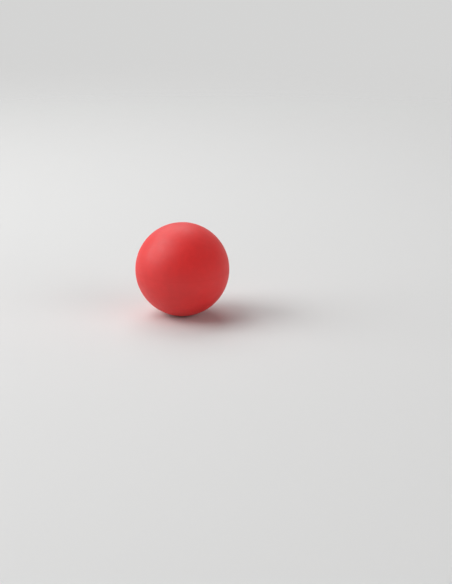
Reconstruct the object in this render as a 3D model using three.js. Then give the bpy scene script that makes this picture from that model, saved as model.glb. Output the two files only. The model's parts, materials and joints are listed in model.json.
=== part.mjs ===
// A hollow rubber bouncy ball, 70 mm across, as a three.js scene in millimetres with +Z up.
//
// The ball's centre is the origin. Two moulded cups meet in the plane z = 0, where a tongue on the
// upper rim sits in a groove in the lower one, bedded in cement. The air goes in through a needle
// hole at the bottom, under a rubber plug that closes behind the needle. The plug makes that the
// heavy side, so it is also the side that the ball comes to rest on.

import * as THREE from "three";

// Driving dimensions

const ballRadius = 35;
const wallThickness = 4.5;

const cementFilm = 0.3;
const tongueWidth = 1.5;
const tongueHeight = 1.2;
const tongueDraft = 0.12;
const beadReach = 1.3;
const beadDepth = 0.9;

const needleHoleRadius = 0.6;
const sealLip = 0.6;
const countersinkDepth = 0.5;
const sealLength = 1.8;

const plugRadius = 3;
const plugHeight = 3;
const plugClearance = 0.2;
const pocketFloor = 1;
const housingWall = 3.2;
const housingFlare = 1.8;
const patchOverlap = 2.4;
const patchThickness = 0.9;
const patchEdge = 0.3;

// How finely round shapes are stepped

const stepsRound = 64;
const stepsOutside = 16;
const stepsInside = 11;
const stepsUnderHousing = 3;
const stepsBead = 6;

// Sizes that follow from them

const innerRadius = ballRadius - wallThickness;
const upperRim = cementFilm / 2;
const lowerRim = -cementFilm / 2;

const rimMiddle = ballRadius - wallThickness / 2;
const tongueInside = rimMiddle - tongueWidth / 2;
const tongueOutside = rimMiddle + tongueWidth / 2;
const tipInside = tongueInside + tongueDraft;
const tipOutside = tongueOutside - tongueDraft;
const tipHeight = upperRim - tongueHeight;
const grooveFloor = lowerRim - tongueHeight;

const sealRadius = needleHoleRadius + sealLip;
const sealFace = -Math.sqrt(ballRadius ** 2 - sealRadius ** 2);
const countersinkTop = sealFace + countersinkDepth;
const sealTop = sealFace + sealLength;

const plugSeat = -innerRadius + pocketFloor;
const housingTop = plugSeat + plugHeight;
const pocketRadius = plugRadius + plugClearance;
const housingTopRadius = pocketRadius + housingWall;
const housingFootRadius = housingTopRadius + housingFlare;
const patchRadius = pocketRadius + patchOverlap;

// Materials

const redRubber = new THREE.MeshStandardMaterial({ color: 0xdc3636, roughness: 0.58, metalness: 0 });
const redCement = new THREE.MeshStandardMaterial({ color: 0xd33232, roughness: 0.5, metalness: 0 });
const darkRubber = new THREE.MeshStandardMaterial({ color: 0x3a3532, roughness: 0.7, metalness: 0 });
const gumRubber = new THREE.MeshStandardMaterial({ color: 0xb98a55, roughness: 0.45, metalness: 0 });

// Outlines are drawn in a half plane, as distance from the ball's axis and height above the seam.
// They run anticlockwise, so that the turned faces point out of the rubber.

function at(distance, height) {
  return new THREE.Vector2(distance, height);
}

// A point on a sphere about the ball's centre
function sphereAtHeight(radius, height) {
  return at(Math.sqrt(radius ** 2 - height ** 2), height);
}

// The same, for a point below the seam that is known by its distance from the axis
function sphereBelow(radius, distance) {
  return at(distance, -Math.sqrt(radius ** 2 - distance ** 2));
}

// The points between two others on one sphere, evenly spread and without the two ends
function sphereBetween(from, to, steps) {
  const radius = from.length();
  const points = [];
  for (let i = 1; i < steps; i++) {
    const latitude = THREE.MathUtils.lerp(Math.atan2(from.y, from.x), Math.atan2(to.y, to.x), i / steps);
    points.push(at(radius * Math.cos(latitude), radius * Math.sin(latitude)));
  }
  return points;
}

// A profile that keeps off the axis ends where it began
function closed(outline) {
  return [...outline, outline[0].clone()];
}

// three.js turns a profile about Y, so each body is then tipped to stand along Z
function piece(name, bodyAlongY, material) {
  const mesh = new THREE.Mesh(bodyAlongY.rotateX(Math.PI / 2), material);
  mesh.name = name;
  return mesh;
}

function turned(name, outline, material) {
  return piece(name, new THREE.LatheGeometry(outline, stepsRound), material);
}

function group(...members) {
  const made = new THREE.Group();
  made.add(...members);
  return made;
}

// Outlines that two pieces share

const upperRimOutside = sphereAtHeight(ballRadius, upperRim);
const lowerRimOutside = sphereAtHeight(ballRadius, lowerRim);
const upperRimInside = sphereAtHeight(innerRadius, upperRim);
const lowerRimInside = sphereAtHeight(innerRadius, lowerRim);
const beadTop = sphereAtHeight(innerRadius, beadReach);
const beadBottom = sphereAtHeight(innerRadius, -beadReach);

// The tongue, from the inside of the ball outwards. It narrows to its tip by the draft that lets
// it leave the mould.
const tongue = [
  at(tongueInside, upperRim),
  at(tipInside, tipHeight),
  at(tipOutside, tipHeight),
  at(tongueOutside, upperRim),
];

// The groove, from the outside inwards, a film of cement away from the tongue
const groove = [
  at(tongueOutside + cementFilm, lowerRim),
  at(tipOutside + cementFilm, grooveFloor),
  at(tipInside - cementFilm, grooveFloor),
  at(tongueInside - cementFilm, lowerRim),
];

// The part of the inner wall that the plug's housing is bonded to, from the needle hole outwards
const needleHoleInside = sphereBelow(innerRadius, needleHoleRadius);
const housingFoot = sphereBelow(innerRadius, housingFootRadius);
const housingSeat = [
  needleHoleInside,
  ...sphereBetween(needleHoleInside, housingFoot, stepsUnderHousing),
  housingFoot,
];

// The countersunk mouth of the needle hole, from the ball's surface inwards
const sealEdge = at(sealRadius, sealFace);
const countersinkEdge = at(needleHoleRadius, countersinkTop);

// The shell

function upperHalfShell() {
  const innerPole = at(0, innerRadius);
  const outerPole = at(0, ballRadius);
  return turned(
    "upper_half_shell",
    [
      innerPole,
      ...sphereBetween(innerPole, beadTop, stepsInside),
      beadTop,
      upperRimInside,
      ...tongue,
      upperRimOutside,
      ...sphereBetween(upperRimOutside, outerPole, stepsOutside),
      outerPole,
    ],
    redRubber,
  );
}

function lowerHalfShell() {
  return turned(
    "lower_half_shell",
    closed([
      countersinkEdge,
      sealEdge,
      ...sphereBetween(sealEdge, lowerRimOutside, stepsOutside),
      lowerRimOutside,
      ...groove,
      lowerRimInside,
      beadBottom,
      ...sphereBetween(beadBottom, housingFoot, stepsInside),
      ...[...housingSeat].reverse(),
    ]),
    redRubber,
  );
}

// The cement fills the step between the two rims, and what was pressed out of the joint stands on
// the inside of the wall as a low bead
function seamBond() {
  const bead = [];
  for (let i = 1; i < stepsBead; i++) {
    const angle = Math.PI * (i / stepsBead);
    const height = beadReach * Math.cos(angle);
    bead.push(at(sphereAtHeight(innerRadius, height).x - beadDepth * Math.sin(angle), height));
  }
  return turned(
    "seam_bond",
    closed([
      lowerRimOutside,
      upperRimOutside,
      ...[...tongue].reverse(),
      upperRimInside,
      beadTop,
      ...bead,
      beadBottom,
      lowerRimInside,
      ...[...groove].reverse(),
    ]),
    redCement,
  );
}

// The inflation plug and what holds it

// A flared pad on the inside of the wall, with a pocket for the plug over the needle hole
function plugHousing() {
  return turned(
    "plug_housing",
    closed([
      ...housingSeat,
      at(housingTopRadius, housingTop),
      at(pocketRadius, housingTop),
      at(pocketRadius, plugSeat),
      at(needleHoleRadius, plugSeat),
    ]),
    darkRubber,
  );
}

// A cylinder of soft gum rubber that stands on the pocket's floor and closes behind the needle
function sealingPlug() {
  const body = new THREE.CylinderGeometry(plugRadius, plugRadius, plugHeight, stepsRound);
  const plug = piece("sealing_plug", body, gumRubber);
  plug.position.z = plugSeat + plugHeight / 2;
  return plug;
}

// A thin disc cemented over the pocket, which keeps the plug in when the needle pushes on it
function plugPatch() {
  const patchTop = housingTop + patchThickness;
  return turned(
    "plug_patch",
    [
      at(0, housingTop),
      at(patchRadius, housingTop),
      at(patchRadius, patchTop - patchEdge),
      at(patchRadius - patchEdge, patchTop),
      at(0, patchTop),
    ],
    darkRubber,
  );
}

// A drop of cement in the mouth of the needle hole, ground flush with the ball
function needleHoleSeal() {
  return turned(
    "needle_hole_seal",
    [at(0, sealFace), sealEdge, countersinkEdge, at(needleHoleRadius, sealTop), at(0, sealTop)],
    redCement,
  );
}

const shell = group(upperHalfShell(), seamBond(), lowerHalfShell());
const inflation = group(plugHousing(), sealingPlug(), plugPatch(), needleHoleSeal());

const ball = group(shell, inflation);

export default ball;
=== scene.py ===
"""A hollow red rubber bouncy ball on a pale floor, in soft studio light.

The ball is two moulded cups, cemented at a tongue and groove that was ground flush. A rubber plug in
a housing inside closes behind the needle that blows the ball up, and a drop of cement seals the
needle's hole. Every piece is modelled here to fit its solid in the frame. The ball's centre is the
origin, its axis is Z and the seam lies in the plane z = 0. Lengths are in metres.
"""

import json
import math

import bmesh
import bpy
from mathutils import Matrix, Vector

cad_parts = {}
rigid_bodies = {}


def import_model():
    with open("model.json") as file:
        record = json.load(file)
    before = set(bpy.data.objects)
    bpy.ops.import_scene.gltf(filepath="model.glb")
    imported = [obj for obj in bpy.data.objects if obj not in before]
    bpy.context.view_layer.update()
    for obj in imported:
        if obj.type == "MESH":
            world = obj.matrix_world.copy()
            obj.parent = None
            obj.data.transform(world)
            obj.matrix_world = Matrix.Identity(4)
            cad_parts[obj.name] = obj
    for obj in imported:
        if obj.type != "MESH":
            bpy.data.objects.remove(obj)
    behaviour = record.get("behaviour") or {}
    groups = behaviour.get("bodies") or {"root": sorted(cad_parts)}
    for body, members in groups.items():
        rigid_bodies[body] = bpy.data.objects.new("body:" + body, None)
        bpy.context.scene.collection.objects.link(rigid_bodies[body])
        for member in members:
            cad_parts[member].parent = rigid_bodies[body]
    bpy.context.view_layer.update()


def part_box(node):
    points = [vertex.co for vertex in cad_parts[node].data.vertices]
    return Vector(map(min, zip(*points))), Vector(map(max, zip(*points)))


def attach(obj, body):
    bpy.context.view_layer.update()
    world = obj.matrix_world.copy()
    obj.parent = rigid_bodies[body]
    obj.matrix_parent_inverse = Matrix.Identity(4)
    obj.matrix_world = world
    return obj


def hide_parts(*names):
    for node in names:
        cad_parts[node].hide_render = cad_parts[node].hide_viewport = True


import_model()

MM = 0.001

# Sizes that the frame gives

BALL_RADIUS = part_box("upper_half_shell")[1].z
TONGUE_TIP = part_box("upper_half_shell")[0].z
LOWER_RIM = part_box("lower_half_shell")[1].z
UPPER_RIM = -LOWER_RIM
GROOVE_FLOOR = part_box("seam_bond")[0].z
BEAD_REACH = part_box("seam_bond")[1].z
SEAL_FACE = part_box("needle_hole_seal")[0].z
SEAL_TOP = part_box("needle_hole_seal")[1].z
SEAL_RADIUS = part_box("needle_hole_seal")[1].x
HOUSING_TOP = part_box("plug_housing")[1].z
HOUSING_FOOT_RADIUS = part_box("plug_housing")[1].x
PLUG_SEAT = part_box("sealing_plug")[0].z
PLUG_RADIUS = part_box("sealing_plug")[1].x
PATCH_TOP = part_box("plug_patch")[1].z
PATCH_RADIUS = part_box("plug_patch")[1].x

# Sizes that the solids' boxes don't give

WALL = 4.5 * MM
TONGUE_WIDTH = 1.5 * MM
TONGUE_DRAFT = 0.12 * MM
BEAD_DEPTH = 0.9 * MM
NEEDLE_HOLE_RADIUS = 0.6 * MM
COUNTERSINK = 0.5 * MM
PLUG_CLEARANCE = 0.2 * MM
HOUSING_WALL = 3.2 * MM

INNER_RADIUS = BALL_RADIUS - WALL
CEMENT_FILM = UPPER_RIM - LOWER_RIM
TONGUE_OUTSIDE = BALL_RADIUS - (WALL - TONGUE_WIDTH) / 2
TONGUE_INSIDE = TONGUE_OUTSIDE - TONGUE_WIDTH
POCKET_RADIUS = PLUG_RADIUS + PLUG_CLEARANCE
HOUSING_TOP_RADIUS = POCKET_RADIUS + HOUSING_WALL

# Fine shapes that the solids leave out

TONGUE_EASING = 0.25 * MM
CEMENT_SINK = 0.006 * MM
SEAL_LAND = 0.15 * MM
SEAL_DISH = 0.03 * MM
SEAL_CROWN = 0.15 * MM
HOUSING_EASING = 0.4 * MM
FLANK_HOLLOW = 0.4
PLUG_EASING = 0.35 * MM
PATCH_EASING = 0.55 * MM

# Steps round the shells, round the small pieces, and along each curve

STEPS_SHELL = 192
STEPS_SMALL = 64
STEPS_BEAD = 16
STEPS_SEAT = 8
STEPS_CURVE = 6
STEPS_EASED = 3

# Points nearer than a hair are one, and edges sharper than the angle stay sharp

HAIR = 0.001 * MM
SHARP_ANGLE = math.radians(35)

# The camera, from where the ball lies in the photograph, measured from its upper left corner

PHOTO_WIDTH, PHOTO_HEIGHT = 452, 584
BALL_CENTRE_PX = (182.4, 269.1)
BALL_RADIUS_PX = 47.0
LENS, SENSOR = 85, 36
CAMERA_ELEVATION = math.radians(16)


# Outlines are lists of points in a half plane: distance from the ball's axis, and height


def at(distance, height):
    return Vector((distance, height))


def on_sphere(radius, height):
    """The point of a sphere about the ball's centre that is at a height."""
    return at(math.sqrt(radius**2 - height**2), height)


def swept(start, pull, end, steps):
    """A curve that leaves start towards pull, and reaches end from it."""
    shares = [step / steps for step in range(steps + 1)]
    return [start.lerp(pull, t).lerp(pull.lerp(end, t), t) for t in shares]


def eased(outline, reach):
    """The outline with every corner between its ends rounded over."""
    points = [outline[0]]
    for before, corner, after in zip(outline, outline[1:], outline[2:]):
        start = corner + (before - corner).normalized() * reach
        end = corner + (after - corner).normalized() * reach
        points += swept(start, corner, end, STEPS_EASED)
    return points + [outline[-1]]


def inside_bottom(distance):
    """The point at the bottom of the hollow that is at a distance from the axis."""
    return at(distance, -math.sqrt(INNER_RADIUS**2 - distance**2))


def rim_outline(level, outside, inside, end):
    """A cup's rim, from the outside of the ball inwards. Between two radii it runs to another height."""
    corners = [
        at(outside + TONGUE_EASING, level),
        at(outside, level),
        at(outside - TONGUE_DRAFT, end),
        at(inside + TONGUE_DRAFT, end),
        at(inside, level),
        at(inside - TONGUE_EASING, level),
    ]
    edge_outside, edge_inside = on_sphere(BALL_RADIUS, level), on_sphere(INNER_RADIUS, level)
    return [edge_outside, *eased(corners, TONGUE_EASING / 2), edge_inside]


def tongue_outline():
    """The rim of the upper cup."""
    return rim_outline(UPPER_RIM, TONGUE_OUTSIDE, TONGUE_INSIDE, TONGUE_TIP)


def groove_outline():
    """The rim of the lower cup, a film of cement away from the tongue."""
    outside, inside = TONGUE_OUTSIDE + CEMENT_FILM, TONGUE_INSIDE - CEMENT_FILM
    return rim_outline(LOWER_RIM, outside, inside, GROOVE_FLOOR)


def bead_outline():
    """The cement that was pressed out of the joint, down the inside of the wall."""
    outline = []
    for step in range(STEPS_BEAD + 1):
        angle = math.pi * step / STEPS_BEAD
        foot = on_sphere(INNER_RADIUS, BEAD_REACH * math.cos(angle))
        outline.append(foot - at(BEAD_DEPTH * math.sin(angle), 0))
    return outline


def mouth_outline():
    """The countersunk mouth of the needle hole, from the ball's surface inwards."""
    return [at(SEAL_RADIUS, SEAL_FACE), at(NEEDLE_HOLE_RADIUS, SEAL_FACE + COUNTERSINK)]


# Modelling


def begin(name, add_primitive, **sizes):
    """Adds a primitive with nothing else selected, names it, and opens it for editing."""
    bpy.ops.object.select_all(action="DESELECT")
    add_primitive(**sizes)
    piece = bpy.context.object
    piece.name = piece.data.name = name
    bpy.ops.object.mode_set(mode="EDIT")
    return piece


def move_ring(piece, point):
    """Takes the selected ring of edges to a point of an outline."""
    mesh = bmesh.from_edit_mesh(piece.data)
    corner = next(vertex.co for vertex in mesh.verts if vertex.select)
    growth = point.x / corner.xy.length
    bpy.ops.transform.translate(value=(0, 0, point.y - corner.z))
    bpy.ops.transform.resize(value=(growth, growth, 1), center_override=(0, 0, point.y))


def draw_ring(piece, outline):
    """Extrudes the selected ring from point to point of an outline."""
    for point in outline:
        bpy.ops.mesh.extrude_edges_move()
        move_ring(piece, point)


def cut_level(height, keep_above):
    """Cuts what is selected off at a height, and leaves the ring of the cut selected."""
    bpy.ops.mesh.bisect(
        plane_co=(0, 0, height),
        plane_no=(0, 0, 1),
        clear_inner=keep_above,
        clear_outer=not keep_above,
        threshold=HAIR,
    )


def finish(piece, material, node):
    """Welds the piece, turns its faces outwards, and puts it in the place of its solid."""
    bpy.ops.mesh.select_all(action="SELECT")
    bpy.ops.mesh.remove_doubles(threshold=HAIR)
    bpy.ops.mesh.normals_make_consistent(inside=False)
    bpy.ops.object.mode_set(mode="OBJECT")
    bpy.ops.object.shade_smooth_by_angle(angle=SHARP_ANGLE)
    piece.data.materials.append(material)
    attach(piece, "root")
    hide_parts(node)


def start_shell(name):
    """Starts a half shell with the whole of the ball's outside."""
    return begin(
        name,
        bpy.ops.mesh.primitive_uv_sphere_add,
        segments=STEPS_SHELL,
        ring_count=STEPS_SHELL // 2,
        radius=BALL_RADIUS,
    )


def add_inner_sphere():
    """Adds the whole of the hollow's wall, and leaves only that selected."""
    bpy.ops.mesh.select_all(action="DESELECT")
    bpy.ops.mesh.primitive_uv_sphere_add(
        segments=STEPS_SHELL, ring_count=STEPS_SHELL // 2, radius=INNER_RADIUS
    )


def start_turned(name, first, steps):
    """Starts a piece that is turned about the ball's axis with the ring at its first point."""
    piece = begin(name, bpy.ops.mesh.primitive_circle_add, vertices=steps, radius=first.x)
    move_ring(piece, first)
    return piece


def turn_closed(name, outline, steps):
    """A turned piece with a hole along the axis: its outline runs back to where it began."""
    piece = start_turned(name, outline[0], steps)
    draw_ring(piece, outline[1:] + outline[:1])
    return piece


def turn_capped(name, outline, steps):
    """A turned piece without a hole: flat faces close the rings at both ends of its outline."""
    piece = start_turned(name, outline[0], steps)
    bpy.ops.mesh.edge_face_add()
    draw_ring(piece, outline[1:])
    bpy.ops.mesh.edge_face_add()
    return piece


# The pieces


def upper_half_shell(material):
    """The upper cup, with the tongue on its rim."""
    piece = start_shell("upper_half_shell_moulding")
    cut_level(UPPER_RIM, keep_above=True)
    rim = tongue_outline()
    move_ring(piece, rim[0])
    draw_ring(piece, rim[1:])
    add_inner_sphere()
    cut_level(UPPER_RIM, keep_above=True)
    move_ring(piece, rim[-1])
    finish(piece, material, "upper_half_shell")


def lower_half_shell(material):
    """The lower cup, which has the needle hole through its wall."""
    hole_inside = inside_bottom(NEEDLE_HOLE_RADIUS)
    piece = start_shell("lower_half_shell_moulding")

    # The needle hole, from the outside of the ball to the hollow
    cut_level(SEAL_FACE, keep_above=True)
    mouth = mouth_outline()
    move_ring(piece, mouth[0])
    draw_ring(piece, mouth[1:] + [hole_inside])

    # The rim, from the outside of the ball to the hollow
    bpy.ops.mesh.select_all(action="SELECT")
    cut_level(LOWER_RIM, keep_above=False)
    rim = groove_outline()
    move_ring(piece, rim[0])
    draw_ring(piece, rim[1:])

    # The wall of the hollow, from the needle hole to the rim
    add_inner_sphere()
    cut_level(hole_inside.y, keep_above=True)
    move_ring(piece, hole_inside)
    bpy.ops.mesh.select_linked()
    cut_level(LOWER_RIM, keep_above=False)
    move_ring(piece, rim[-1])
    finish(piece, material, "lower_half_shell")


def seam_bond(material):
    """The cement between the two rims, ground down a hair below the rubber."""
    upper, lower = tongue_outline(), groove_outline()
    upper[0] = at(BALL_RADIUS - CEMENT_SINK, UPPER_RIM)
    lower[0] = at(BALL_RADIUS - CEMENT_SINK, LOWER_RIM)
    outline = upper + bead_outline() + lower[::-1]
    piece = turn_closed("seam_cement", outline, STEPS_SHELL)
    finish(piece, material, "seam_bond")


def needle_hole_seal(material):
    """A drop of cement: a stem that runs up the hole, and a head that shrank to a shallow dish."""
    mouth, foot = mouth_outline()
    stem_top = at(NEEDLE_HOLE_RADIUS, SEAL_TOP - SEAL_CROWN)
    crown = swept(stem_top, at(NEEDLE_HOLE_RADIUS, SEAL_TOP), at(HAIR, SEAL_TOP), STEPS_CURVE)
    land = mouth - at(SEAL_LAND, 0)
    dish = swept(land, land - at(SEAL_LAND, 0), at(HAIR, SEAL_FACE + SEAL_DISH), STEPS_CURVE)
    # Both curves stop short of the axis, where flat faces close the drop
    outline = crown[-2::-1] + [foot, mouth] + dish[:-1]
    piece = turn_capped("needle_hole_drop", outline, STEPS_SMALL)
    finish(piece, material, "needle_hole_seal")


def plug_housing(material):
    """The pad that holds the plug: a pocket with a rounded lip, on a foot that thins out to nothing."""
    needle_hole = at(NEEDLE_HOLE_RADIUS, PLUG_SEAT)
    foot = inside_bottom(HOUSING_FOOT_RADIUS)
    lip = eased(
        [
            needle_hole,
            at(POCKET_RADIUS, PLUG_SEAT),
            at(POCKET_RADIUS, HOUSING_TOP),
            at(HOUSING_TOP_RADIUS, HOUSING_TOP),
            at(HOUSING_TOP_RADIUS, HOUSING_TOP - 2 * HOUSING_EASING),
        ],
        HOUSING_EASING,
    )
    straight = lip[-1].lerp(foot, 0.5)
    pull = straight.lerp(at(HOUSING_TOP_RADIUS, foot.y), FLANK_HOLLOW)
    flank = swept(lip[-1], pull, foot, STEPS_CURVE)
    step = (NEEDLE_HOLE_RADIUS - HOUSING_FOOT_RADIUS) / STEPS_SEAT
    seat = [inside_bottom(HOUSING_FOOT_RADIUS + step * count) for count in range(1, STEPS_SEAT + 1)]
    piece = turn_closed("housing_moulding", lip + flank[1:] + seat, STEPS_SMALL)
    finish(piece, material, "plug_housing")


def sealing_plug(material):
    """A short rod of soft gum rubber, cut to length and tumbled until its edges were round."""
    outline = eased(
        [
            at(PLUG_RADIUS / 2, HOUSING_TOP),
            at(PLUG_RADIUS, HOUSING_TOP),
            at(PLUG_RADIUS, PLUG_SEAT),
            at(PLUG_RADIUS / 2, PLUG_SEAT),
        ],
        PLUG_EASING,
    )
    piece = turn_capped("gum_plug", outline, STEPS_SMALL)
    finish(piece, material, "sealing_plug")


def plug_patch(material):
    """A disc punched from sheet, with its upper edge skived so that it lies down."""
    outline = [
        *eased(
            [
                at(PATCH_RADIUS / 2, PATCH_TOP),
                at(PATCH_RADIUS, PATCH_TOP),
                at(PATCH_RADIUS, HOUSING_TOP),
            ],
            PATCH_EASING,
        ),
        at(PATCH_RADIUS / 2, HOUSING_TOP),
    ]
    piece = turn_capped("cover_patch", outline, STEPS_SMALL)
    finish(piece, material, "plug_patch")


# Nodes

# The Mix node's sockets for colours, which share their names with those for numbers
MIX_FIRST, MIX_SECOND, MIX_RESULT = 6, 7, 2


def add(tree, kind, inputs=None, **settings):
    """Adds a node. Each input is a plain value, or another node's output, which is linked."""
    made = tree.nodes.new(kind)
    for name, value in settings.items():
        setattr(made, name, value)
    for name, value in (inputs or {}).items():
        if isinstance(value, bpy.types.NodeSocket):
            tree.links.new(value, made.inputs[name])
        else:
            made.inputs[name].default_value = value
    return made


def reckon(tree, operation, *values):
    """The result of a Math node."""
    return add(tree, "ShaderNodeMath", dict(enumerate(values)), operation=operation).outputs[0]


def scaled(tree, factor, size, offset):
    """factor times size, plus offset."""
    return reckon(tree, "MULTIPLY_ADD", factor, size, offset)


def faded(tree, value, full, gone):
    """1 where a value is at full, eased to 0 where it is at gone."""
    inputs = {"Value": value, "From Min": full, "From Max": gone, "To Min": 1.0, "To Max": 0.0}
    return add(tree, "ShaderNodeMapRange", inputs, interpolation_type="SMOOTHSTEP").outputs[0]


def feathered(tree, distance, reach, feather):
    """1 within a reach, eased to 0 over the feather beyond it."""
    return faded(tree, distance, reach, reckon(tree, "ADD", reach, feather))


def noise(tree, place, size, detail):
    """Soft noise whose features are about as large as size."""
    inputs = {"Vector": place, "Scale": 1 / size, "Detail": detail}
    return add(tree, "ShaderNodeTexNoise", inputs).outputs["Fac"]


def mixed(tree, factor, first, second):
    """A colour between two others."""
    inputs = {0: factor, MIX_FIRST: first, MIX_SECOND: second}
    return add(tree, "ShaderNodeMix", inputs, data_type="RGBA").outputs[MIX_RESULT]


def object_place(tree):
    return add(tree, "ShaderNodeTexCoord").outputs["Object"]


def start_group(name, inputs, outputs):
    """A shader node group with these sockets, and its two end nodes."""
    tree = bpy.data.node_groups.new(name, "ShaderNodeTree")
    for socket, (kind, value) in inputs.items():
        made = tree.interface.new_socket(name=socket, in_out="INPUT", socket_type=kind)
        made.default_value = value
    for socket, kind in outputs.items():
        tree.interface.new_socket(name=socket, in_out="OUTPUT", socket_type=kind)
    return tree, tree.nodes.new("NodeGroupInput").outputs, tree.nodes.new("NodeGroupOutput").inputs


# Effects that the materials share

NUMBER, COLOUR = "NodeSocketFloat", "NodeSocketColor"
NOISE_MIDDLE = 0.5
GRAIN_SIZE = 0.9 * MM
WAVE_SIZE = 3.5 * MM
CLOUD_SIZE = 14 * MM
STREAK_SIZE = 4 * MM
UNEVEN_SIZE = 7 * MM
POLISH_SIZE = 11 * MM
POLISHED_ABOVE, PLAIN_BELOW = 0.66, 0.5
SPECK_SPACING = 2.6 * MM
SCRATCH_WIDTH = 0.12 * MM
SCRATCH_STRETCH = 30


def moulded_skin_group():
    """The height of a skin from a blasted steel mould: a fine grain over slow waves."""
    tree, given, result = start_group(
        "moulded_skin",
        {"Grain Depth": (NUMBER, 0.035 * MM), "Wave Depth": (NUMBER, 0.06 * MM)},
        {"Height": NUMBER},
    )
    place = object_place(tree)
    waves = reckon(tree, "MULTIPLY", noise(tree, place, WAVE_SIZE, detail=1.0), given["Wave Depth"])
    height = scaled(tree, noise(tree, place, GRAIN_SIZE, detail=1.0), given["Grain Depth"], waves)
    tree.links.new(height, result["Height"])
    return tree


def compound_drift_group():
    """A colour that is a little lighter here and darker there, as a milled compound is."""
    tree, given, result = start_group(
        "compound_drift",
        {"Color": (COLOUR, (0.8, 0.8, 0.8, 1)), "Amount": (NUMBER, 0.05)},
        {"Color": COLOUR, "Clouds": NUMBER},
    )
    place = object_place(tree)
    clouds = noise(tree, place, CLOUD_SIZE, detail=2.0)
    streaks = noise(tree, place, STREAK_SIZE, detail=3.0)
    both = reckon(tree, "ADD", clouds, streaks)
    drift = reckon(tree, "SUBTRACT", both, 2 * NOISE_MIDDLE)
    value = scaled(tree, drift, given["Amount"], 1.0)
    shifted = add(tree, "ShaderNodeHueSaturation", {"Color": given["Color"], "Value": value})
    tree.links.new(shifted.outputs["Color"], result["Color"])
    tree.links.new(clouds, result["Clouds"])
    return tree


def ground_flush_group():
    """Where the seam and the needle hole's seal were ground flush, and the scratches that this left."""
    tree, given, result = start_group(
        "ground_flush",
        {
            "Half Width": (NUMBER, 1.5 * MM),
            "Seal Reach": (NUMBER, 3.0 * MM),
            "Feather": (NUMBER, 1.2 * MM),
            "Scratch Depth": (NUMBER, 0.001 * MM),
        },
        {"Mask": NUMBER, "Scratches": NUMBER},
    )
    place = object_place(tree)
    height = add(tree, "ShaderNodeSeparateXYZ", {"Vector": place}).outputs["Z"]
    uneven = reckon(tree, "MULTIPLY", noise(tree, place, UNEVEN_SIZE, detail=1.0), given["Feather"])
    from_seam = reckon(tree, "ADD", reckon(tree, "ABSOLUTE", height), uneven)
    beside_seam = feathered(tree, from_seam, given["Half Width"], given["Feather"])
    inputs = {0: place, 1: (0, 0, SEAL_FACE)}
    distance = add(tree, "ShaderNodeVectorMath", inputs, operation="DISTANCE").outputs["Value"]
    from_seal = reckon(tree, "ADD", distance, uneven)
    round_seal = feathered(tree, from_seal, given["Seal Reach"], given["Feather"])
    mask = reckon(tree, "MAXIMUM", beside_seam, round_seal)
    inputs = {0: place, 1: (1 / SCRATCH_STRETCH, 1 / SCRATCH_STRETCH, 1)}
    drawn_out = add(tree, "ShaderNodeVectorMath", inputs, operation="MULTIPLY").outputs["Vector"]
    scratches = noise(tree, drawn_out, SCRATCH_WIDTH, detail=1.0)
    depth = reckon(tree, "MULTIPLY", given["Scratch Depth"], mask)
    tree.links.new(mask, result["Mask"])
    tree.links.new(reckon(tree, "MULTIPLY", scratches, depth), result["Scratches"])
    return tree


def wear_group():
    """Where play has polished the skin, and the odd speck of dust that sticks to it."""
    tree, given, result = start_group(
        "wear",
        {"Speck Radius": (NUMBER, 0.16 * MM), "Speck Share": (NUMBER, 0.12)},
        {"Polish": NUMBER, "Specks": NUMBER},
    )
    place = object_place(tree)
    polish = faded(tree, noise(tree, place, POLISH_SIZE, detail=3.0), POLISHED_ABOVE, PLAIN_BELOW)
    cells = add(tree, "ShaderNodeTexVoronoi", {"Vector": place, "Scale": 1 / SPECK_SPACING})
    distance = reckon(tree, "MULTIPLY", cells.outputs["Distance"], SPECK_SPACING)
    near = reckon(tree, "LESS_THAN", distance, given["Speck Radius"])
    chance = add(tree, "ShaderNodeSeparateColor", {"Color": cells.outputs["Color"]}).outputs["Red"]
    chosen = reckon(tree, "LESS_THAN", chance, given["Speck Share"])
    tree.links.new(polish, result["Polish"])
    tree.links.new(reckon(tree, "MULTIPLY", near, chosen), result["Specks"])
    return tree


# Materials

RED = (0.75, 0.020, 0.019, 1)
GROUND_RED = (0.73, 0.022, 0.021, 1)
CEMENT_RED = (0.73, 0.020, 0.019, 1)
DUST = (0.75, 0.70, 0.66, 1)
BLACK_BROWN = (0.042, 0.036, 0.032, 1)
GUM = (0.48, 0.25, 0.09, 1)

# How strongly the effects show: on the red rubber first, then on the plain materials

RED_DRIFT = 0.14
GROUND_SHARE, DUST_SHARE = 0.4, 0.15
RUBBER_ROUGHNESS, RUBBER_SPECULAR = 0.46, 0.6
ROUGHER_IN_CLOUDS, ROUGHER_POLISHED, ROUGHER_GROUND = 0.14, -0.05, 0.03

PLAIN_ROUGHNESS_DRIFT = 0.12
PLAIN_GRAIN_DEPTH = 0.04 * MM


def use(tree, group, inputs=None):
    """Places a node group, and gives its outputs."""
    return add(tree, "ShaderNodeGroup", inputs, node_tree=group).outputs


def start_material(name):
    material = bpy.data.materials.new(name)
    material.use_nodes = True
    return material, material.node_tree, material.node_tree.nodes["Principled BSDF"].inputs


def bumped(tree, height):
    """The normal of a surface with a height in metres."""
    return add(tree, "ShaderNodeBump", {"Height": height, "Distance": 1.0}).outputs["Normal"]


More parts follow.
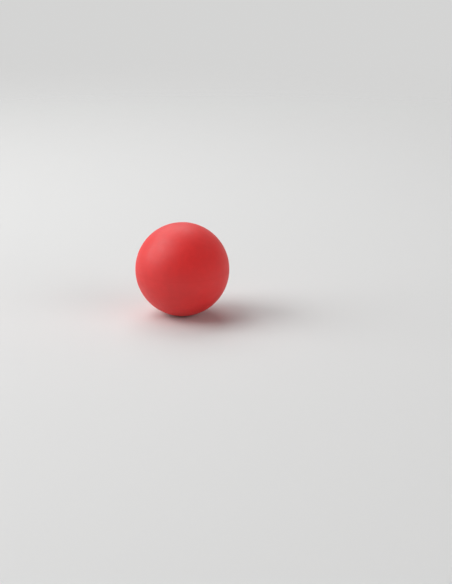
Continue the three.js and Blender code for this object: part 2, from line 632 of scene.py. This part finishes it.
def red_rubber_material(skin, drift, ground, wear):
    """Matte and soft to the touch, a shade duller where it was ground."""
    material, tree, surface = start_material("red_rubber")
    red = use(tree, drift, {"Color": RED, "Amount": RED_DRIFT})
    flush = use(tree, ground)
    worn = use(tree, wear)
    grain = use(tree, skin)
    dulled = mixed(tree, reckon(tree, "MULTIPLY", flush["Mask"], GROUND_SHARE), red["Color"], GROUND_RED)
    dusted = mixed(tree, reckon(tree, "MULTIPLY", worn["Specks"], DUST_SHARE), dulled, DUST)
    roughness = scaled(tree, red["Clouds"], ROUGHER_IN_CLOUDS, RUBBER_ROUGHNESS)
    roughness = scaled(tree, worn["Polish"], ROUGHER_POLISHED, roughness)
    roughness = scaled(tree, flush["Mask"], ROUGHER_GROUND, roughness)
    height = reckon(tree, "ADD", grain["Height"], flush["Scratches"])
    tree.links.new(dusted, surface["Base Color"])
    tree.links.new(roughness, surface["Roughness"])
    tree.links.new(bumped(tree, height), surface["Normal"])
    surface["Specular IOR Level"].default_value = RUBBER_SPECULAR
    return material


def plain_material(name, colour, skin, drift, roughness, amount):
    """A rubber or cement that is one colour but for its drift, under a moulded skin."""
    material, tree, surface = start_material(name)
    compound = use(tree, drift, {"Color": colour, "Amount": amount})
    grain = use(tree, skin, {"Grain Depth": PLAIN_GRAIN_DEPTH})
    tree.links.new(compound["Color"], surface["Base Color"])
    lowest = roughness - PLAIN_ROUGHNESS_DRIFT / 2
    drifting = scaled(tree, compound["Clouds"], PLAIN_ROUGHNESS_DRIFT, lowest)
    tree.links.new(drifting, surface["Roughness"])
    tree.links.new(bumped(tree, grain["Height"]), surface["Normal"])
    return material


# The studio

FLOOR_RADIUS = 4.0
FLOOR_STEPS = 96
FLOOR_GAP = 0.02 * MM
FLOOR_ROUGHNESS = 0.9
FLOOR_COLOUR = (0.75, 0.75, 0.745, 1)
FADE_FROM, FADE_TO = 0.3, 1.5
PALE_ROOM = (0.66, 0.66, 0.655, 1)
DIM_ROOM = (0.08, 0.08, 0.08, 1)
SOFTBOX_WIDTH, SOFTBOX_HEIGHT = 2.0, 1.7
SOFTBOX_DISTANCE = 2.4


def make_camera():
    """Sets the camera so that the ball lies where the photograph has it, as large as it is there."""
    focal_px = LENS / SENSOR * max(PHOTO_WIDTH, PHOTO_HEIGHT)
    distance = math.hypot(focal_px * BALL_RADIUS / BALL_RADIUS_PX, BALL_RADIUS)
    right = BALL_CENTRE_PX[0] - PHOTO_WIDTH / 2
    up = PHOTO_HEIGHT / 2 - BALL_CENTRE_PX[1]
    ray = Vector((right, up, -focal_px)).normalized()
    tilt = math.atan2(ray.y, math.hypot(ray.x, ray.z))
    data = bpy.data.cameras.new("camera")
    data.lens, data.sensor_width = LENS, SENSOR
    camera = bpy.data.objects.new("camera", data)
    camera.rotation_euler = (math.pi / 2 - CAMERA_ELEVATION - tilt, 0, 0)
    camera.location = -(camera.rotation_euler.to_matrix() @ ray) * distance
    bpy.context.scene.collection.objects.link(camera)
    bpy.context.scene.camera = camera


def floor_material():
    """Pale and matte. Far from the ball it gives way to the room, and from below it isn't seen."""
    material, tree, surface = start_material("floor")
    surface["Base Color"].default_value = FLOOR_COLOUR
    surface["Roughness"].default_value = FLOOR_ROUGHNESS
    inputs = {0: object_place(tree)}
    away = add(tree, "ShaderNodeVectorMath", inputs, operation="LENGTH").outputs["Value"]
    far = faded(tree, away, FADE_TO, FADE_FROM)
    below = add(tree, "ShaderNodeNewGeometry").outputs["Backfacing"]
    looked_at = add(tree, "ShaderNodeLightPath").outputs["Is Camera Ray"]
    unseen = reckon(tree, "MULTIPLY", reckon(tree, "MAXIMUM", far, below), looked_at)
    solid = tree.nodes["Principled BSDF"].outputs[0]
    clear = add(tree, "ShaderNodeBsdfTransparent").outputs[0]
    seen = add(tree, "ShaderNodeMixShader", {0: unseen, 1: solid, 2: clear}).outputs[0]
    tree.links.new(seen, tree.nodes["Material Output"].inputs["Surface"])
    return material


def make_floor():
    bpy.ops.object.select_all(action="DESELECT")
    height = SEAL_FACE - FLOOR_GAP
    bpy.ops.mesh.primitive_circle_add(
        vertices=FLOOR_STEPS, radius=FLOOR_RADIUS, fill_type="NGON", location=(0, 0, height)
    )
    floor = bpy.context.object
    floor.name = "floor"
    floor.data.materials.append(floor_material())


def make_room():
    """Pale to look at and in reflections, and dim as a light, so that the softboxes do the lighting."""
    world = bpy.data.worlds.new("room")
    world.use_nodes = True
    tree = world.node_tree
    rays = add(tree, "ShaderNodeLightPath").outputs
    seen = reckon(tree, "MAXIMUM", rays["Is Camera Ray"], rays["Is Glossy Ray"])
    seen = reckon(tree, "MAXIMUM", seen, rays["Is Transmission Ray"])
    colour = mixed(tree, seen, DIM_ROOM, PALE_ROOM)
    tree.links.new(colour, tree.nodes["Background"].inputs["Color"])
    bpy.context.scene.world = world


def make_softbox(name, azimuth, elevation, light):
    """A softbox that faces the ball. Azimuth 0 is behind the camera, and 90 is to its right.

    The light is what falls on a surface at the ball that faces the softbox. At a light of pi, a
    colour shows as it is written.
    """
    around, up = math.radians(azimuth), math.radians(elevation)
    away = Vector((math.sin(around) * math.cos(up), -math.cos(around) * math.cos(up), math.sin(up)))
    data = bpy.data.lights.new(name, "AREA")
    data.shape = "RECTANGLE"
    data.size, data.size_y = SOFTBOX_WIDTH, SOFTBOX_HEIGHT
    data.energy = math.pi * SOFTBOX_DISTANCE**2 * light
    softbox = bpy.data.objects.new(name, data)
    softbox.location = away * SOFTBOX_DISTANCE
    softbox.rotation_euler = away.to_track_quat("Z", "Y").to_euler()
    bpy.context.scene.collection.objects.link(softbox)
    return softbox


# The scene

make_camera()

skin = moulded_skin_group()
drift = compound_drift_group()
ground = ground_flush_group()
wear = wear_group()

red_rubber = red_rubber_material(skin, drift, ground, wear)
red_cement = plain_material("red_cement", CEMENT_RED, skin, drift, roughness=0.5, amount=0.06)
dark_rubber = plain_material("dark_rubber", BLACK_BROWN, skin, drift, roughness=0.7, amount=0.2)
gum_rubber = plain_material("gum_rubber", GUM, skin, drift, roughness=0.45, amount=0.15)

upper_half_shell(red_rubber)
lower_half_shell(red_rubber)
seam_bond(red_cement)
needle_hole_seal(red_cement)
plug_housing(dark_rubber)
sealing_plug(gum_rubber)
plug_patch(dark_rubber)

make_floor()
make_room()
make_softbox("side", azimuth=270, elevation=30, light=1.75)
make_softbox("back", azimuth=198, elevation=52, light=1.4)
make_softbox("high", azimuth=278, elevation=55, light=1.2)

# The fill only lifts the shaded side, and leaves no highlight on it
fill = make_softbox("fill", azimuth=58, elevation=18, light=1.2)
fill.visible_glossy = False

bpy.context.scene.view_settings.view_transform = "Standard"
